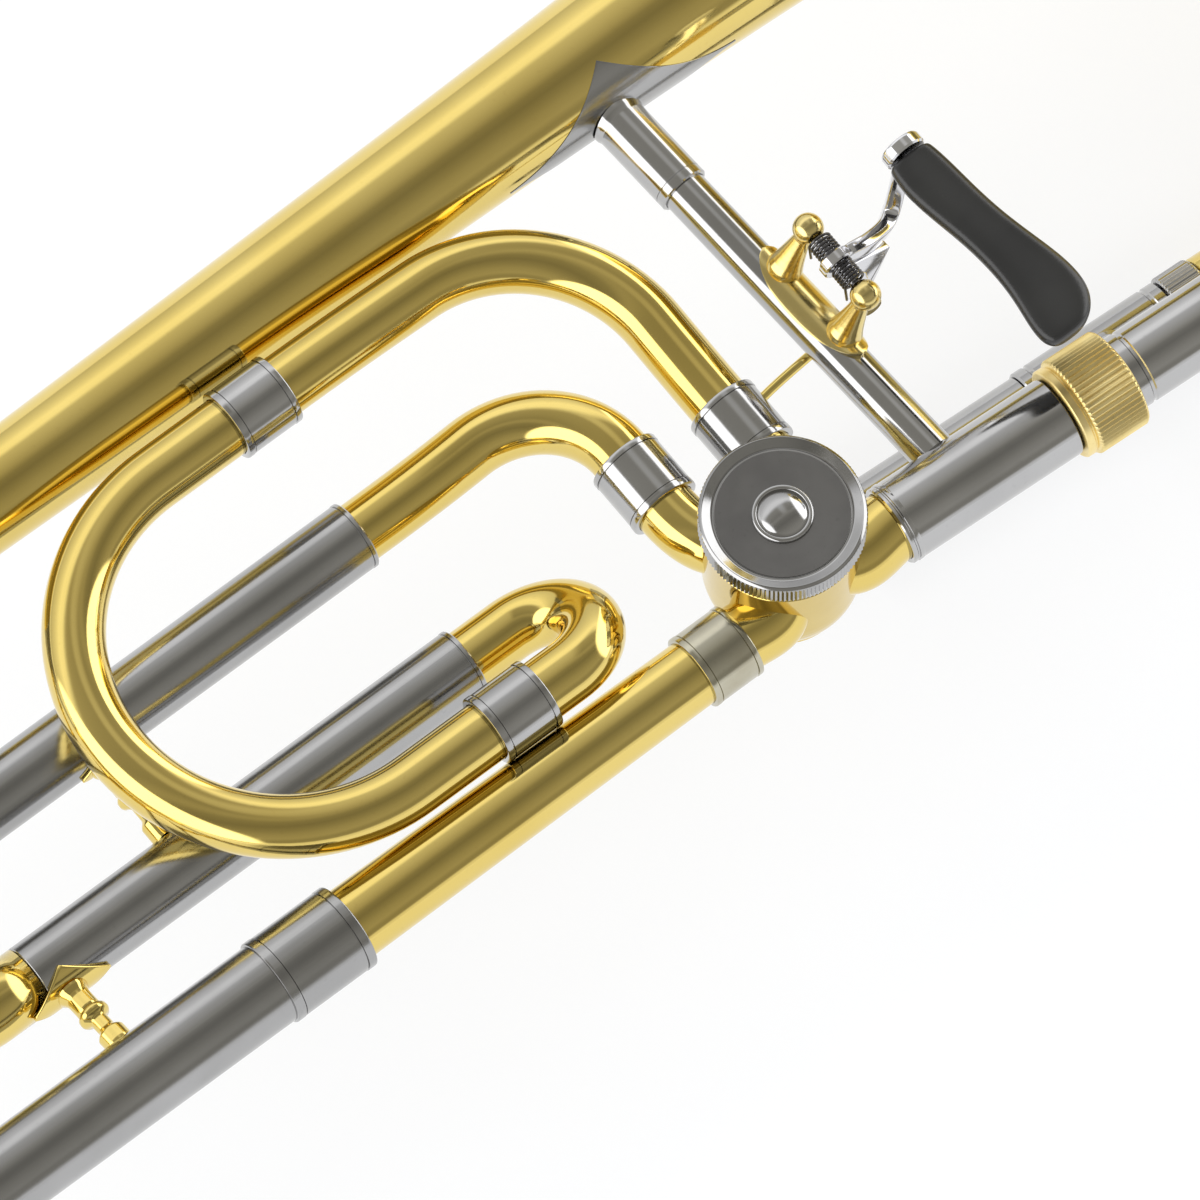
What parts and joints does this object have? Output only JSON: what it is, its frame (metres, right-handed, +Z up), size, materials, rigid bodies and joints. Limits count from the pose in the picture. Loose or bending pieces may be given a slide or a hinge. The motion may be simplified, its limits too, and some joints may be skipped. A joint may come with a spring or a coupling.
{
  "type": "alto trombone",
  "caption": "Alto trombone: flared bell, rotary-valve attachment with thumb lever, tuning slides, and a handslide fitted.",
  "frame": {"origin": "centre of the bounding box, at its base", "axes": "+X forward along the bell and the slide, +Y from the main tube to the bell, +Z up, the side of the valve cap"},
  "size_m": [0.9992, 0.241, 0.166],
  "materials": {
    "brass": "clear lacquer over polished brass",
    "bright_brass": "bare machined brass, straight knurl",
    "raw_brass": "bare machined brass",
    "satin_nickel": "satin nickel silver",
    "polished_nickel": "polished nickel silver",
    "lever_chrome": "polished plating",
    "steel": "bare steel",
    "blued_steel": "blued spring wire",
    "black_plastic": "satin black",
    "black_rubber": "matte black"
  },
  "bodies": {
    "bell_section": {"bell": "brass", "bell_flange": "satin_nickel", "brace_socket": "polished_nickel", "brace_tube": "polished_nickel", "slide_receiver": "polished_nickel", "rotor_casing": "brass", "bearing_plate": "raw_brass", "stop_plate": "brass", "rotor_cap": "polished_nickel", "stop_cork_open": "black_rubber", "stop_cork_closed": "black_rubber", "main_ferrule": "polished_nickel", "main_tube": "brass", "sleeve_ferrule": "satin_nickel", "main_sleeve": "satin_nickel", "bell_tail_sleeve": "satin_nickel", "out_ferrule": "polished_nickel", "loop_out_tube": "brass", "loop_ferrule_upper": "polished_nickel", "loop_ferrule_lower": "polished_nickel", "rear_loop": "brass", "front_ubend": "brass", "loop_sleeve_upper": "satin_nickel", "loop_sleeve_lower": "satin_nickel", "loop_return_tube": "brass", "return_ferrule": "polished_nickel", "lower_stay": "brass", "middle_stay": "brass", "upper_stay": "brass", "lever_saddle": "brass", "hinge_rod": "steel", "spring_near": "blued_steel", "spring_far": "blued_steel"},
    "lever": {"thumb_lever": "lever_chrome", "thumb_paddle": "black_plastic"},
    "link": {"link_rod": "brass"},
    "rotor": {"valve_rotor": "raw_brass", "stop_arm": "brass"},
    "nut": {"lock_nut": "bright_brass"},
    "main_slide": {"main_crook": "brass", "main_leg_lower": "polished_nickel", "main_leg_upper": "polished_nickel"},
    "loop_slide": {"loop_crook": "brass", "loop_leg_upper": "polished_nickel", "loop_leg_lower": "polished_nickel"},
    "inner_slide": {"neck_barrel": "polished_nickel", "mouth_barrel": "polished_nickel", "inner_tube_neck": "polished_nickel", "inner_tube_mouth": "polished_nickel", "mouthpiece_receiver": "polished_nickel", "inner_slide_brace": "polished_nickel"},
    "lock_ring": {"slide_lock_ring": "polished_nickel"},
    "outer_slide": {"outer_tube_neck": "brass", "outer_tube_mouth": "brass", "outer_slide_brace": "polished_nickel", "slide_bow": "brass", "bow_ferrule_neck": "polished_nickel", "bow_ferrule_mouth": "polished_nickel", "slide_bumper": "black_rubber"},
    "water_key": {"water_key": "brass"}
  },
  "joints": [
    {"name": "lever_press", "type": "hinge", "parent": "bell_section", "child": "lever", "pos_m": [-0.16429, -0.03289, 0.0995], "axis": [0, 1, 0], "range_deg": [0, 30], "stiffness_Nm_per_rad": 0.03, "springref_deg": -20.05},
    {"name": "link_swing", "type": "hinge", "parent": "lever", "child": "link", "pos_m": [-0.15789, -0.03289, 0.073], "axis": [0, 1, 0], "range_deg": [-30, 0]},
    {"name": "rotor_turn", "type": "hinge", "parent": "bell_section", "child": "rotor", "pos_m": [-0.20729, -0.06964, 0.083], "axis": [0, 0, 1], "range_deg": [0, 90]},
    {"name": "nut_turn", "type": "hinge", "parent": "bell_section", "child": "nut", "pos_m": [-0.14584, -0.08121, 0.083], "axis": [0.9986, -0.0523, 0], "continuous": true},
    {"name": "main_slide_pull", "type": "slide", "parent": "bell_section", "child": "main_slide", "axis": [-1, 0, 0], "range_m": [0, 0.05]},
    {"name": "loop_slide_pull", "type": "slide", "parent": "bell_section", "child": "loop_slide", "axis": [-1, 0, 0], "range_m": [0, 0.045]},
    {"name": "slide_swivel", "type": "hinge", "parent": "bell_section", "child": "inner_slide", "pos_m": [-0.14584, -0.08121, 0.083], "axis": [0.9986, -0.0523, 0], "range_deg": [-210, 0]},
    {"name": "lock_ring_turn", "type": "hinge", "parent": "inner_slide", "child": "lock_ring", "pos_m": [-0.09439, -0.05472, 0.0085], "axis": [0.9986, -0.0523, 0], "range_deg": [0, 30]},
    {"name": "slide_travel", "type": "slide", "parent": "inner_slide", "child": "outer_slide", "axis": [0.9986, -0.0523, 0], "range_m": [0, 0.44]},
    {"name": "water_key_press", "type": "hinge", "parent": "outer_slide", "child": "water_key", "pos_m": [0.41076, -0.11487, 0.09445], "axis": [0.0487, 0.93, 0.3644], "range_deg": [0, 15], "stiffness_Nm_per_rad": 0.01, "springref_deg": -28.65}
  ],
  "couplings": [
    {"joint": "rotor_turn", "follows": "lever_press", "ratio": 3},
    {"joint": "link_swing", "follows": "lever_press", "ratio": -1}
  ]
}
